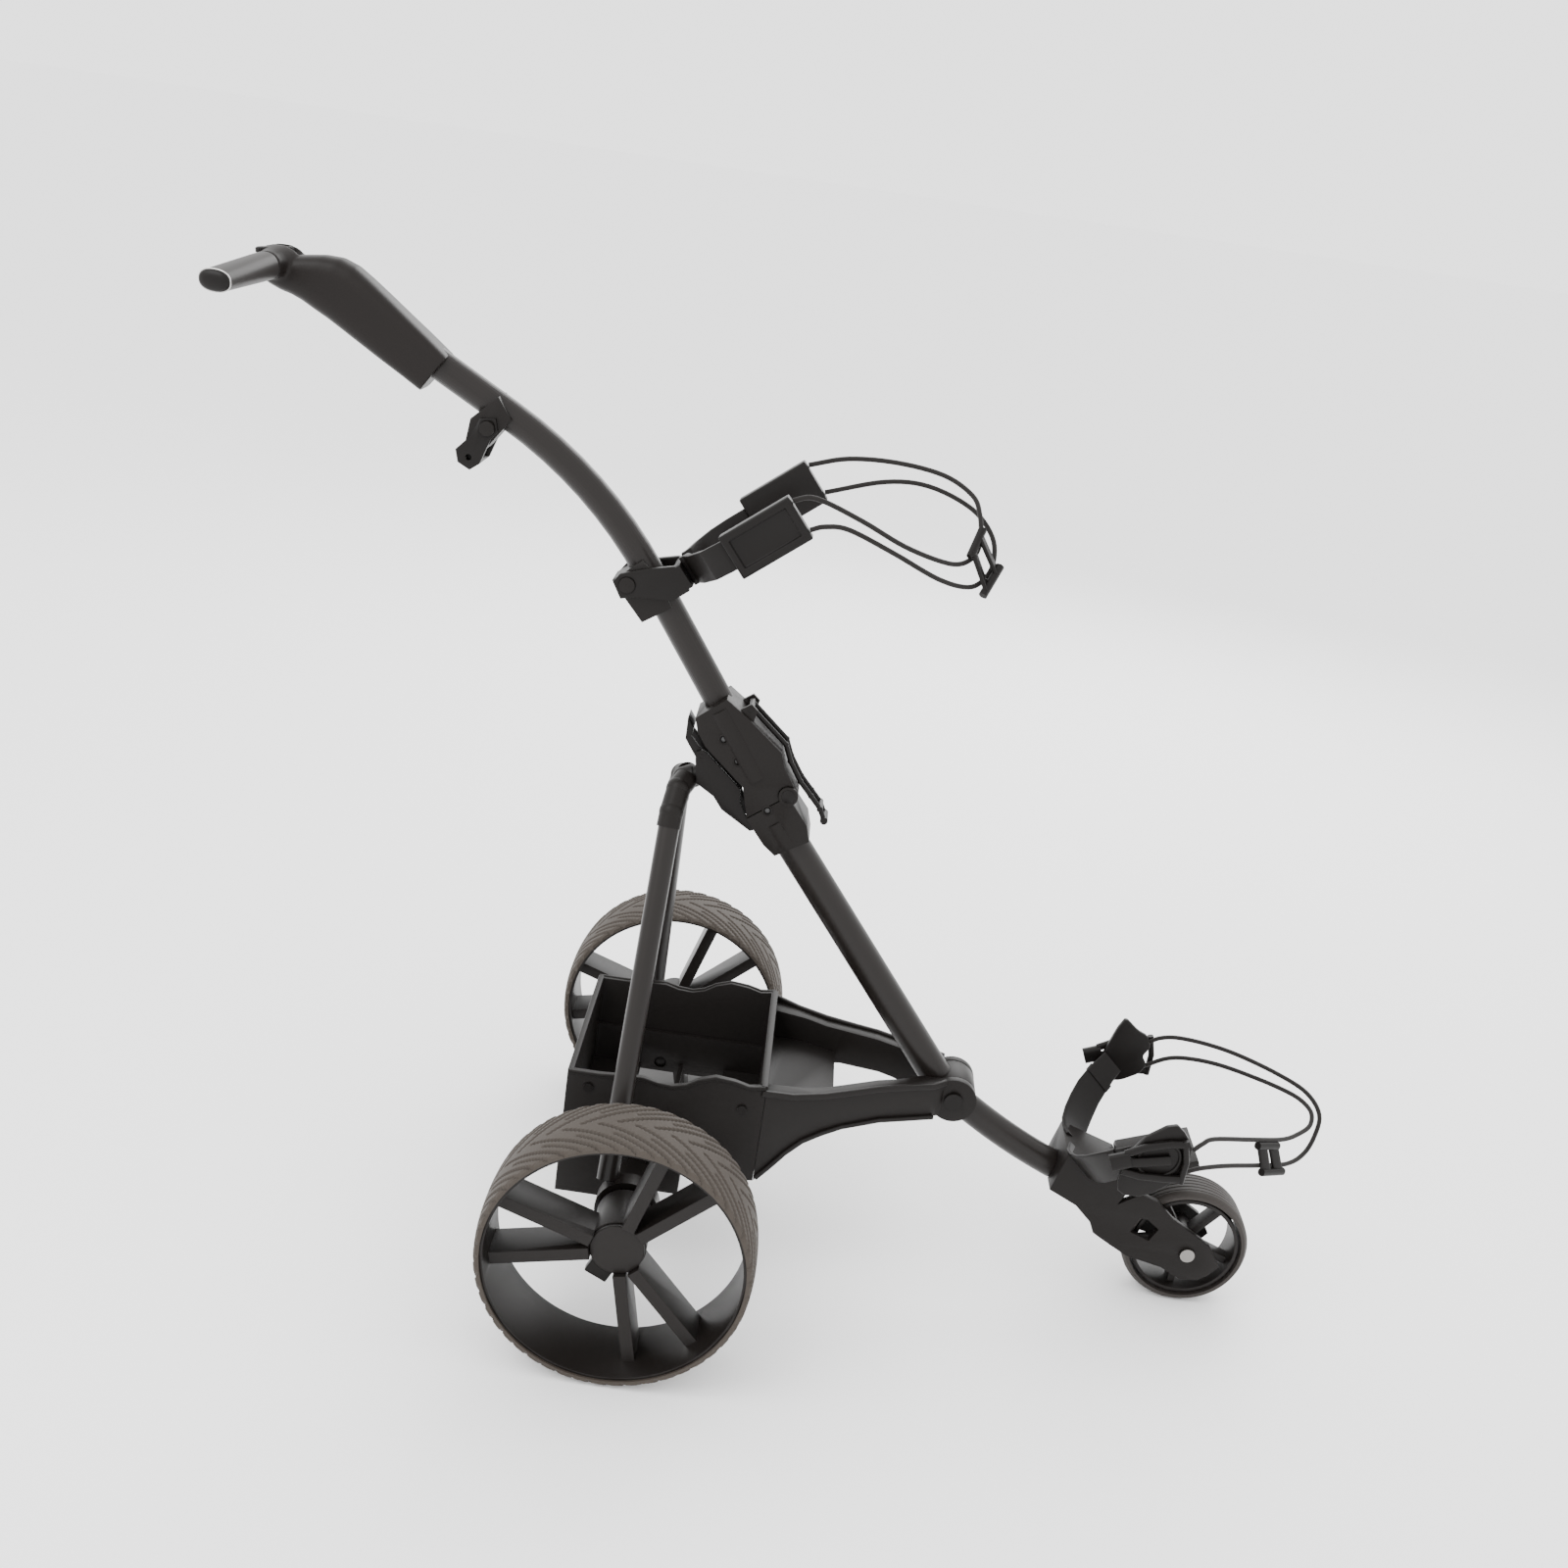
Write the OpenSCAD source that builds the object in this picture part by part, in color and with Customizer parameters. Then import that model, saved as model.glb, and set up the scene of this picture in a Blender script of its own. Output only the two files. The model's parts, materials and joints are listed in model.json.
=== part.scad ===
// Powered golf trolley, folded out: base with battery tray and two arms, main frame, hinged
// upper shaft with handle, A-shaped stay, two drive wheels, front wheel and two bag supports.
// Millimetres. +X forward, +Y left, +Z up. Z = 0 is the ground; X = 0 is mid length.

/* [Wheels] */
// outside diameter of a rear wheel
rear_wheel_d = 270; // [240:1:290]
// width of a rear tyre
rear_tyre_w = 84; // [50:1:90]
// distance between the middles of the rear wheels
track = 524; // [500:1:600]
// outside diameter of the front wheel
front_wheel_d = 140; // [120:1:145]
// width of the front tyre
front_tyre_w = 48; // [30:1:50]
// distance from rear axle to front axle
wheelbase = 610; // [600:1:620]
// number of V shaped spoke pairs in a rear wheel
spoke_pairs = 3; // [3:1:5]

/* [Frame tubes] */
// diameter of the upper shaft
shaft_d = 30; // [26:1:32]
// diameter of the lower tube
lower_tube_d = 35; // [30:1:36]
// diameter of the front tube
front_tube_d = 31; // [26:1:32]
// diameter of the stay legs
stay_d = 22; // [18:1:22]

/* [Base] */
// outside width of the battery tray
tray_w = 222; // [200:2:230]
// wall thickness of the battery tray
tray_wall = 6; // [4:0.5:6]

/* [Handle] */
// width of the handle neck
neck_w = 44; // [36:1:46]
// diameter of the two hand grips
grip_d = 26; // [22:1:28]
// half of the overall handle width
grip_reach = 130; // [110:1:140]

/* [Cords] */
// diameter of the elastic bag cords
cord_d = 5; // [3:0.5:5]

/* [Hidden] */
$fn = 48;
eps = 0.01;
// height and X position of the rear axle
axle_z = rear_wheel_d / 2;
axle_x = -100;
rear_y = track / 2;
front_z = front_wheel_d / 2;
front_x = wheelbase;
tyre_half = rear_tyre_w / 2;
// pivot points, X from the rear axle
knuckle = [325, 212];
fold_pivot = [100, 530];
lever_pivot = [50, 613];
bag_pivot = [-87, 723];
catch_pivot = [-236, 854];
clip_pivot = [7, 557];
stay_top = [-15, 40, 500];
stay_low = [-23, 192, 160];
// centre line of the lower tube
lower_a = [97, 488];
lower_b = [310, 219];
// curved front tube: start, heading and turn in the side view, bend radius
front_start = [338, 198];
front_heading = -34;
front_turn = 11.5;
front_radius = 640;
front_end = [451, 137.3];
// upper shaft: straight, bent, straight
shaft_a = [17, 611];
shaft_b = [-68.9, 732.8];
shaft_heading = 125.2;
shaft_turn = 26.8;
shaft_radius = 432;
shaft_steps = 8;
shaft_c = [-219.2, 865.3];
shaft_d_end = [-327, 922.6];
// side view of the tray wall
tray_side = [[-83, 86], [-30, 86], [-22, 127], [72, 127], [122, 131], [122, 243], [104, 240],
    [89, 244], [69, 246], [52, 240], [40, 232], [26, 228], [10, 229], [-5, 233], [-50, 230],
    [-83, 230]];
// side view and half plan of the two arms
arm_side = [[122.5, 131.5], [149, 162], [167, 177], [203, 190], [246, 196], [305, 194], [330, 191],
    [330, 236], [300, 233], [240, 234], [183, 229], [122.5, 232]];
arm_plan = [[122.5, 111], [183, 87], [240, 63], [300, 38], [313, 27.3], [325, 27.3], [325, 19],
    [288, 20], [262, 36], [200, 62], [160, 78], [122.5, 84]];
// side view of the folding hinge, upper and lower half
hinge_up_side = [[-4, 598], [0, 584], [10, 569], [53, 532], [61, 500], [99.6, 530.3], [105, 539],
    [92, 559.5], [87, 574.5], [48, 606], [25, 622]];
hinge_low_side = [[61, 498.6], [99.8, 529], [123, 501], [128, 484], [95, 463], [82, 473]];
hinge_half_w = 26;
clip_side = [[50.3, 527.5], [12, 561], [8, 563.5], [1, 561], [1, 553], [5.5, 527], [24, 516],
    [34, 503], [66, 484], [74, 488], [59.4, 500.4],
    [51.4, 515]];
// folding lever path in side view
lever_path = [[50, 613], [90, 579], [97, 562], [110, 542], [123, 528], [134, 516], [140, 504]];
// handle body in side view: upper shell and lower shell share the middle line
handle_top = [[-468, 970], [-466, 979], [-440, 984], [-385, 990], [-360, 974], [-281, 913],
    [-293, 895.5], [-372, 951], [-400, 962.5], [-467, 965.5]];
handle_low = [[-466, 965], [-400, 962], [-372, 950.5], [-293, 895], [-305, 878], [-405, 934],
    [-429, 946], [-458, 953]];
// middle of the speed dial at the handle's top face, and its backward lean
dial_at = [-453, 981];
dial_tilt = 8;
// bag support in its own frame: u along the arm, v across it, turned by this angle
bag_angle = 39;
// how much further forward the left pad of the upper support sits
pad_offset = 16;
// front fork side plate and its window
fork_side = [[522, 120], [503, 80], [522, 69], [545, 57], [585, 49], [609, 37], [628, 39],
    [638, 47], [648, 60], [633, 83], [620, 91], [586, 111], [565, 130], [545, 136]];
fork_window = [[543, 88], [550, 107], [559, 106], [573, 96], [565, 80]];
fork_block = [[446, 126], [478, 111], [497, 93], [503, 80], [522, 119.5], [530, 136], [520, 152],
    [458, 172]];
// cord routes from pad to pad, X from the rear axle
cord_up_a = [[62.3, -66, 836.2], [84, -65, 841], [129, -56, 825], [174, -42, 804], [214, -24, 791],
    [234, -12, 790], [246, -4, 800], [248, 4, 816], [245, 18, 834], [236, 34, 849], [206, 50, 862],
    [158, 60, 866], [110, 65, 862], [71.4, 66, 850]];
cord_up_b = [[82.3, -66, 811.1], [96, -65, 816], [119, -58, 815], [164, -46, 797], [212, -30, 775],
    [243, -14, 768], [258, -4, 776], [265, 4, 792], [261, 22, 814], [238, 40, 835], [194, 56, 848],
    [150, 63, 845], [91.6, 66, 825.2]];
cord_low_a = [[566.2, -108, 241.4], [576, -101, 246], [590, -91, 248], [640, -62, 238], [680, -34, 228],
    [702, -16, 228], [716, -2, 232], [719, 12, 240], [712, 28, 244], [698, 44, 245], [671, 66, 244],
    [632, 86, 244], [599, 97, 241], [576, 105, 233], [552.6, 109, 217]];
cord_low_b = [[564.3, -108, 215], [582, -101, 218], [612, -84, 215], [650, -62, 208], [688, -38, 201],
    [710, -20, 205], [723, -4, 219], [729, 14, 238], [717, 36, 251], [690, 58, 257], [648, 79, 263],
    [615, 93, 264], [583, 103, 262], [564, 108, 256], [551.6, 110, 247]];
cord_sides = 8;

function xz(p, y) = [p[0], y, p[1]];
function unit(v) = v / norm(v);

// puts X = 0 of the child on the rear axle
module at_axle() {
    translate([axle_x, 0, 0]) children();
}

module rod(a, b, r) {
    d = b - a;
    translate(a)
        rotate([0, acos(d[2] / norm(d)), atan2(d[1], d[0])])
            cylinder(h = norm(d), r = r);
}

function ring_axes(pts, i) =
    let (d = unit(pts[min(i + 1, len(pts) - 1)] - pts[max(i - 1, 0)]),
        s = unit(cross(d, [0.12, 0.9, 0.2])))
    [s, cross(d, s)];

// round bar of k sides with one ring of corners at each route point
module sweep(pts, r, k) {
    n = len(pts);
    rings = [for (i = [0 : n - 1]) let (f = ring_axes(pts, i)) for (j = [0 : k - 1])
        pts[i] + r * (cos(j * 360 / k) * f[0] + sin(j * 360 / k) * f[1])];
    sides = [for (i = [0 : n - 2]) for (j = [0 : k - 1]) let (m = (j + 1) % k)
        [i * k + j, (i + 1) * k + j, (i + 1) * k + m, i * k + m]];
    first = [[for (j = [0 : k - 1]) j]];
    last = [[for (j = [0 : k - 1]) n * k - 1 - j]];
    polyhedron(points = rings, faces = concat(sides, first, last), convexity = 6);
}

// straight rods with a slightly fuller ball at each corner
module bent_rod(pts, r) {
    for (i = [0 : len(pts) - 2])
        rod(pts[i], pts[i + 1], r);
    for (i = [1 : 1 : len(pts) - 2])
        translate(pts[i]) sphere(r = r + 0.5);
}

// tube bend in the side view, turning left from point p along its heading
module bend(p, heading, turn, radius, r) {
    translate([p[0] - radius * sin(heading), 0, p[1] + radius * cos(heading)])
        rotate([90, 0, 0]) rotate([0, 0, heading - 90])
            rotate_extrude(angle = turn, $fn = 240) translate([radius, 0]) circle(r = r, $fn = 48);
}

// side view outline given thickness from y0 to y1
module plate(outline, y0, y1) {
    translate([0, y1, 0]) rotate([90, 0, 0]) linear_extrude(height = y1 - y0) polygon(outline);
}

module peg(p, y0, y1, r) {
    translate([p[0], y1, p[1]]) rotate([90, 0, 0]) cylinder(h = y1 - y0, r = r);
}

module both() {
    children();
    mirror([0, 1, 0]) children();
}

module left() {
    mirror([0, 1, 0]) children();
}

// ---- base ----
module base_tray() {
    color("#1f1d1c") at_axle() {
        inner = tray_w / 2 - tray_wall;
        difference() {
            union() {
                both() plate(tray_side, inner, tray_w / 2);
                translate([-83, -inner - eps, 86]) cube([tray_wall, 2 * inner + 2 * eps, 144]);
                translate([116, -inner - eps, 131]) cube([tray_wall, 2 * inner + 2 * eps, 112]);
                both() translate([-77.5, inner - 4, 124]) cube([194, 4.5, 50]);
                translate([-77.5, -inner, 124]) cube([55.5, 2 * inner, 6]);
                translate([74, -inner, 131]) cube([42.5, 2 * inner, 6]);
                translate([22, -5, 131]) cube([5, inner + 3, 4]);
                both() intersection() {
                    plate(arm_side, 0, 120);
                    linear_extrude(height = 300) polygon(arm_plan);
                }
                translate([121.9, -80, 196]) cube([74, 160, 5]);
                both() peg(knuckle, 19, 27.3, 25);
            }
            both() plate([[-76.9, 87], [-76.9, 123.9], [-30, 123.9], [-36, 87]], -1, inner);
            peg(knuckle, -40, 40, 6.05);
            both() peg([0, axle_z], inner - 5, tray_w / 2 + 1, 7);
            translate([-30, -inner - 0.1, 100]) cube([76, 100.1, 76.5]);
        }
    }
}

module gearbox_case() {
    color("#262423") at_axle()
        difference() {
            translate([-29.8, -104.9, 97]) cube([75.5, 34.8, 71]);
            translate([-26, -101, 101]) cube([68, 27, 63]);
            peg([0, axle_z], -110, -95, 7);
            peg([22, axle_z], -80, -60, 5.1);
        }
}

module drive_motor() {
    color("#4a4a4c") at_axle() {
        peg([14, axle_z], -70, -5.2, 30);
        peg([22, axle_z], -88, -69.9, 5);
    }
}

module bearing_boss_r() {
    color("#1b1a1a") at_axle()
        difference() {
            union() {
                peg([0, axle_z], -140.1, -111.1, 9);
                peg([0, axle_z], -207, -140, 20);
            }
            peg([0, axle_z], -210, -100, 6.05);
        }
}

module bearing_boss_l() {
    left() bearing_boss_r();
}

module knuckle_pin() {
    color("#3a3938") at_axle() {
        peg(knuckle, -27.4, 27.4, 6);
        both() peg(knuckle, 27.4, 31, 10);
    }
}

module tray_bolts() {
    color("#6f6e6c") at_axle()
        for (side = [-1, 1])
            for (x = [-60, 100])
                translate([x, side * 111.1, 214]) rotate([side < 0 ? 90 : -90, 0, 0])
                    cylinder(h = 3, r = 5);
}

// ---- rear wheels ----
module drive_shaft_r() {
    color("#8d8c8a") at_axle() peg([0, axle_z], -264.9, -104, 6);
}

module rim_r() {
    color("#232120") at_axle() translate([0, -rear_y, axle_z])
        difference() {
            union() {
                rotate([90, 0, 0]) difference() {
                    translate([0, 0, -39]) cylinder(h = 78, r = 127.9, $fn = 96);
                    translate([0, 0, -40]) cylinder(h = 80, r = 123.9, $fn = 96);
                }
                for (i = [0 : spoke_pairs - 1])
                    for (side = [-15.5, 15.5])
                        rotate([0, -177 - i * 360 / spoke_pairs - side, 0])
                            translate([27, -13, -6.3]) cube([99, 40, 12.6]);
                peg([0, 0], -3, 53, 28);
            }
            peg([0, 0], -4, 60, 6.02);
            rotate([0, 116, 0]) translate([15.7, -1.7, -12.2]) cube([16, 9.9, 24.4]);
        }
}

module tyre_r() {
    color("#5a554e") at_axle() translate([0, -rear_y, axle_z]) rotate([90, 0, 0])
        rotate_extrude($fn = 96) polygon([[128, -40], [129.5, -tyre_half], [132, -tyre_half],
            [134.2, -26], [axle_z, -9], [axle_z, 9], [134.2, 26], [132, tyre_half],
            [129.5, tyre_half], [128, 40]]);
}

module hub_cap_r() {
    color("#333231") at_axle() peg([0, axle_z], -271, -265.1, 26.6);
}

module release_tab_r() {
    color("#1a1918") at_axle() translate([0, -rear_y, axle_z]) rotate([0, 116, 0])
        translate([19.7, -1.5, -12]) cube([23.3, 9.5, 24]);
}

module drive_shaft_l() {
    left() drive_shaft_r();
}

module rim_l() {
    left() rim_r();
}

module tyre_l() {
    left() tyre_r();
}

module hub_cap_l() {
    left() hub_cap_r();
}

module release_tab_l() {
    left() release_tab_r();
}

// ---- main frame ----
module lower_tube() {
    color("#2b2826") at_axle()
        difference() {
            rod(xz(lower_a, 0), xz(lower_b, 0), lower_tube_d / 2);
            rod(xz(lower_a - [1, -1.27], 0), xz(lower_b + [1, -1.27], 0), lower_tube_d / 2 - 2);
            peg(knuckle, -30, 30, 25);
        }
}

module knuckle_barrel() {
    color("#262322") at_axle()
        difference() {
            peg(knuckle, -18.5, 18.5, 24.8);
            peg(knuckle, -30, 30, 6.05);
        }
}

module front_tube() {
    color("#2b2826") at_axle()
        difference() {
            bend(front_start, front_heading, front_turn, front_radius, front_tube_d / 2);
            bend(front_start, front_heading, front_turn, front_radius, front_tube_d / 2 - 2);
            peg(knuckle, -30, 30, 24.9);
        }
}

module front_fork() {
    color("#1e1c1b") at_axle()
        difference() {
            union() {
                plate(fork_block, -36, 36);
                both() plate(fork_side, 28, 36);
                both() peg([609, 70], 26, 28.1, 14);
            }
            rod(xz([430, 146], 0), xz([452, 136.9], 0), front_tube_d / 2 + 0.6);
            both() plate(fork_window, 20, 40);
            peg([front_x, front_z], -40, 40, 5.05);
            peg([front_x, front_z], -25.9, 25.9, front_z + 6);
        }
}

module front_axle_pin() {
    color("#8d8c8a") at_axle() {
        peg([front_x, front_z], -36, 36, 5);
        both() peg([front_x, front_z], 36.1, 39, 8);
    }
}

module hinge_lower() {
    color("#1d1b1a") at_axle()
        difference() {
            union() {
                plate(hinge_low_side, -hinge_half_w, hinge_half_w);
                both() peg(fold_pivot, 12.3, hinge_half_w + 2, 10);
            }
            peg(fold_pivot, -12.2, 12.2, 10.5);
            peg(fold_pivot, -30, 30, 4.05);
            rod(xz(lower_a, 0), xz(lower_b, 0), lower_tube_d / 2 + 0.05);
            for (p = [[81, 511], [97, 493]])
                both() peg(p, hinge_half_w - 2, hinge_half_w + 1, 4);
        }
}

module fold_pivot_pin() {
    color("#8d8c8a") at_axle() peg(fold_pivot, -28, 28, 4);
}

module clip_bracket() {
    color("#1a1918") at_axle()
        difference() {
            both() plate(clip_side, 16.4, 20.4);
            both() peg(clip_pivot, 15, 22, 2.3);
            plate(hinge_low_side, -30, 30);
        }
}

module clip_lever() {
    color("#151413") at_axle() {
        both() plate([[-12, 594], [-5, 584], [-6, 575], [3, 565.5], [12, 556], [8, 551], [2, 552],
            [-12, 572]], 12.4, 15.9);
        plate([[-12, 594], [-5, 584], [-6, 575], [-12, 575]], -12.5, 12.5);
        both() peg(clip_pivot, 15.8, 20.4, 2.2);
    }
}

// flat band from the fork collar out to a cradle pad, in plan then height limited
module cradle_band_r() {
    color("#191817") at_axle()
        intersection() {
            linear_extrude(height = 300)
                polygon([[462, -15], [462, -36.1], [468, -62], [480, -84], [500, -99], [500, -105],
                    [476, -89], [463, -65], [457, -38], [457, -15]]);
            plate([[450, 172.4], [462, 172.4], [470, 169], [501, 178], [503, 228], [480, 210],
                [456, 200]], -106, -10);
        }
}

module cradle_band_l() {
    left() cradle_band_r();
}

module cradle_pad_r() {
    color("#161514") at_axle() {
        plate([[496, 199], [500.2, 177], [528, 178], [563, 210], [566, 240], [556, 258], [543, 272],
            [506, 242]], -113, -105.1);
        plate([[512, 204], [540, 200], [556, 222], [544, 248], [520, 232]], -105.2, -98);
    }
}

module cradle_pad_l() {
    left() translate([-12, 0, 2]) cradle_pad_r();
}

module bag_rest() {
    color("#1b1a19") at_axle()
        difference() {
            union() {
                plate([[520.2, 152.2], [524, 150.8], [600, 180], [597, 188], [521, 158]], -36, 36);
                plate([[530.3, 136], [536, 138], [530, 154], [520.6, 152.5]], -20, 20);
            }
            translate([565, 0, 180]) rotate([0, -21, 0]) translate([0, 0, -1])
                cylinder(h = 12, r = 15);
        }
}

// ---- front wheel ----
module front_rim() {
    color("#242221") at_axle() translate([front_x, 0, front_z])
        difference() {
            union() {
                rotate([90, 0, 0]) difference() {
                    translate([0, 0, -21]) cylinder(h = 42, r = 58.9, $fn = 72);
                    translate([0, 0, -22]) cylinder(h = 44, r = 55, $fn = 72);
                }
                for (i = [0 : 4])
                    rotate([0, i * 72 + 20, 0]) translate([10, -8, -4]) cube([46, 16, 8]);
                peg([0, 0], -25, 25, 13);
            }
            peg([0, 0], -30, 30, 5.06);
        }
}

module front_tyre() {
    color("#4b4743") at_axle() translate([front_x, 0, front_z]) rotate([90, 0, 0])
        rotate_extrude($fn = 72) polygon([[59, -21], [61, -front_tyre_w / 2],
            [66, -front_tyre_w / 2], [69, -16], [front_z, -6], [front_z, 6], [69, 16],
            [66, front_tyre_w / 2], [61, front_tyre_w / 2], [59, 21]]);
}

// ---- stay ----
module stay_leg_l() {
    color("#2d2a28") at_axle()
        difference() {
            union() {
                rod(stay_low, stay_top, stay_d / 2);
                peg([0, axle_z], 186, 204, 32);
            }
            peg([0, axle_z], 150, 205, 20.1);
            peg([0, axle_z], 204, 240, 60);
            peg([0, axle_z], 100, 186, 24);
        }
}

module stay_leg_r() {
    left() stay_leg_l();
}

module stay_head() {
    color("#1f1d1c") at_axle()
        difference() {
            union() {
                both() bent_rod([[-15.9, 46, 485], stay_top, [-12, 22, 519], [-6, 8, 526]], 12.3);
                rod([-9, 0, 523.5], [19, 0, 537], 10);
                rod([-9, 0, 523.5], [2, 0, 528.8], 12.3);
                translate([-9, 0, 523.5]) sphere(r = 12.3);
            }
            both() rod(stay_low, stay_top, stay_d / 2 + 0.05);
        }
}

// ---- upper shaft ----
// centre line of the upper shaft, its ends drawn out by a little
function shaft_path(extra) =
    let (u = unit(shaft_b - shaft_a), v = unit(shaft_d_end - shaft_c),
        o = shaft_b - shaft_radius * [sin(shaft_heading), -cos(shaft_heading)])
    concat([xz(shaft_a - extra * u, 0)],
        [for (i = [0 : shaft_steps])
            xz(o + shaft_radius * [sin(shaft_heading + shaft_turn * i / shaft_steps),
                -cos(shaft_heading + shaft_turn * i / shaft_steps)], 0)],
        [xz(shaft_d_end + extra * v, 0)]);

module shaft_tube() {
    color("#2b2826") at_axle()
        difference() {
            sweep(shaft_path(0), shaft_d / 2, 32);
            sweep(shaft_path(1), shaft_d / 2 - 2, 32);
        }
}

module hinge_upper() {
    color("#1d1b1a") at_axle()
        difference() {
            union() {
                plate(hinge_up_side, -hinge_half_w, hinge_half_w);
                peg(fold_pivot, -12, 12, 10);
                both() plate([[36, 609], [30, 600], [52, 590], [57, 613], [50, 619]], 16, 20);
            }
            both() peg(fold_pivot, 12, 30, 10.5);
            peg(fold_pivot, -30, 30, 4.06);
            rod(xz(shaft_a, 0), xz(shaft_b, 0), shaft_d / 2 + 0.05);
            peg(lever_pivot, -30, 30, 3.1);
            peg(lever_pivot, -15.9, 15.9, 6.5);
            for (p = [[27, 580], [44, 559]])
                both() peg(p, hinge_half_w - 2, hinge_half_w + 1, 4);
        }
}

module fold_lever() {
    color("#171615") at_axle() {
        both() bent_rod([for (p = lever_path) xz(p, 10)], 2.6);
        peg(lever_pivot, -20, 20, 3);
        peg(lever_path[6], -13, 13, 4);
        peg(lever_path[5], -13, 13, 3.2);
    }
}

module bag_bracket() {
    color("#1c1b1a") at_axle()
        difference() {
            union() {
                plate([[-103, 724], [-69, 686], [-41, 705], [-65, 738], [-75, 748]], -19.5, 19.5);
                both() peg(bag_pivot, 19.4, 29, 8);
            }
            rod(xz(shaft_a, 0), xz(2 * shaft_b - shaft_a, 0), shaft_d / 2 + 0.4);
        }
}

// upper bag support, built with u along X and v along Z about its pivot
module at_bag() {
    at_axle() translate([bag_pivot[0], 0, bag_pivot[1]]) rotate([0, -bag_angle, 0]) children();
}

module bag_yoke() {
    color("#191817") at_bag()
        difference() {
            union() {
                both() plate([[-10, 10], [-13, -8], [0, -14], [30, -36], [50, -36], [50, -8],
                    [20, 6], [0, 13]], 20.6, 27.6);
                translate([47, -27.6, -34]) cube([8, 55.2, 25]);
            }
            both() peg([0, 0], 10, 40, 8.06);
        }
}

// flexible arm of the upper support; the left one reaches further
module bag_band(reach) {
    color("#181716") at_bag() translate([0, 0, -36])
        linear_extrude(height = 31)
            polygon([[55.1, -14], [60, -15], [68, -34], [84, -56], [103, -63.5],
                [109 + reach, -63.9], [109 + reach, -59.4], [104, -59], [88, -52], [73, -33],
                [66, -11], [55.1, -8]]);
}

module bag_pad(reach) {
    color("#161514") at_bag() translate([reach, 0, reach / 3])
        difference() {
            translate([109.1, -72, -46]) cube([77, 16, 46]);
            translate([116, -73, -38]) cube([62, 5, 30]);
        }
}

module bag_band_r() {
    bag_band(0);
}

module bag_band_l() {
    left() bag_band(pad_offset);
}

module bag_pad_r() {
    bag_pad(0);
}

module bag_pad_l() {
    left() bag_pad(pad_offset);
}

module catch_collar() {
    color("#1c1b1a") at_axle()
        difference() {
            union() {
                plate([[-229, 884], [-215, 864], [-238, 832], [-257, 839], [-254, 860]], -20, 20);
                both() peg(catch_pivot, 20, 30, 7);
            }
            rod(xz(2 * shaft_c - shaft_d_end, 0), xz(shaft_d_end, 0), shaft_d / 2 + 0.4);
        }
}

module fold_catch() {
    color("#151413") at_axle()
        difference() {
            union() {
                both() plate([[-229, 864], [-226, 852], [-232, 844], [-241, 819], [-250, 812],
                    [-262, 818], [-265, 830], [-252, 844], [-244, 862]], 20.5, 25);
                plate([[-241, 819], [-250, 812], [-262, 818], [-264, 827], [-254, 828]], -20.6, 20.6);
            }
            both() peg(catch_pivot, 15, 32, 7.06);
            both() peg([-252, 824], 15, 32, 3);
        }
}

// ---- handle ----
module at_dial() {
    translate([dial_at[0], 0, dial_at[1]]) rotate([0, -dial_tilt, 0]) children();
}

module handle_lower_shell() {
    color("#201e1d") at_axle()
        difference() {
            plate(handle_low, -neck_w / 2, neck_w / 2);
            rod(xz(shaft_c, 0), xz(shaft_d_end + [-0.4, 0.2], 0), shaft_d / 2 + 0.05);
        }
}

module handle_upper_shell() {
    color("#232120") at_axle()
        difference() {
            union() {
                plate(handle_top, -neck_w / 2, neck_w / 2);
                both() rod([-449, 20.5, 974.9], [-450.7, 32, 973.63], 11);
            }
            rod(xz(shaft_c, 0), xz(shaft_d_end + [-0.4, 0.2], 0), shaft_d / 2 + 0.05);
            at_dial() translate([0, 0, -14.5]) cylinder(h = 30, r = 6.05);
            at_dial() translate([0, 0, -14.5]) cylinder(h = 7, r = 9);
            plate(handle_low, -neck_w / 2 - 0.1, neck_w / 2 + 0.1);
        }
}

module grip_r() {
    color("#3a3836") at_axle() rod([-450.8, -32.2, 973.6], [-465, -124, 963.5], grip_d / 2);
}

module grip_l() {
    left() grip_r();
}

module grip_caps() {
    color("#151413") at_axle()
        both() {
            rod([-465.02, 124.1, 963.49], [-465.02 - 0.1547 * (grip_reach - 124.1), grip_reach,
                963.49 - 0.11 * (grip_reach - 124.1)], grip_d / 2 + 0.6);
        }
}

module dial_stem() {
    color("#8d8c8a") at_axle() at_dial() {
        translate([0, 0, -11.5]) cylinder(h = 14.3, r = 6);
        translate([0, 0, -12]) cylinder(h = 2, r = 8.6);
    }
}

module speed_dial() {
    color("#1b1a19") at_axle() at_dial() translate([0, 0, 2.9]) cylinder(h = 5.5, r = 17.5);
}

// ---- elastic cords ----
module cord_upper_a() {
    color("#141312") at_axle() sweep(cord_up_a, cord_d / 2, cord_sides);
}

module cord_upper_b() {
    color("#141312") at_axle() sweep(cord_up_b, cord_d / 2, cord_sides);
}

module cord_lower_a() {
    color("#141312") at_axle() sweep(cord_low_a, cord_d / 2, cord_sides);
}

module cord_lower_b() {
    color("#141312") at_axle() sweep(cord_low_b, cord_d / 2, cord_sides);
}

// small H shaped joiner beside the two cords
module cord_clip_upper() {
    color("#1a1918") at_axle() {
        rod([240, -14.5, 798], [249, 5, 823], 2.4);
        rod([258, -20, 763], [272, 2, 790], 2.4);
        rod([242.3, -9.6, 804.3], [261.5, -14.5, 769.8], 3);
        rod([246.8, 0.1, 816.8], [268.5, -3.5, 783.3], 3);
    }
}

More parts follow.
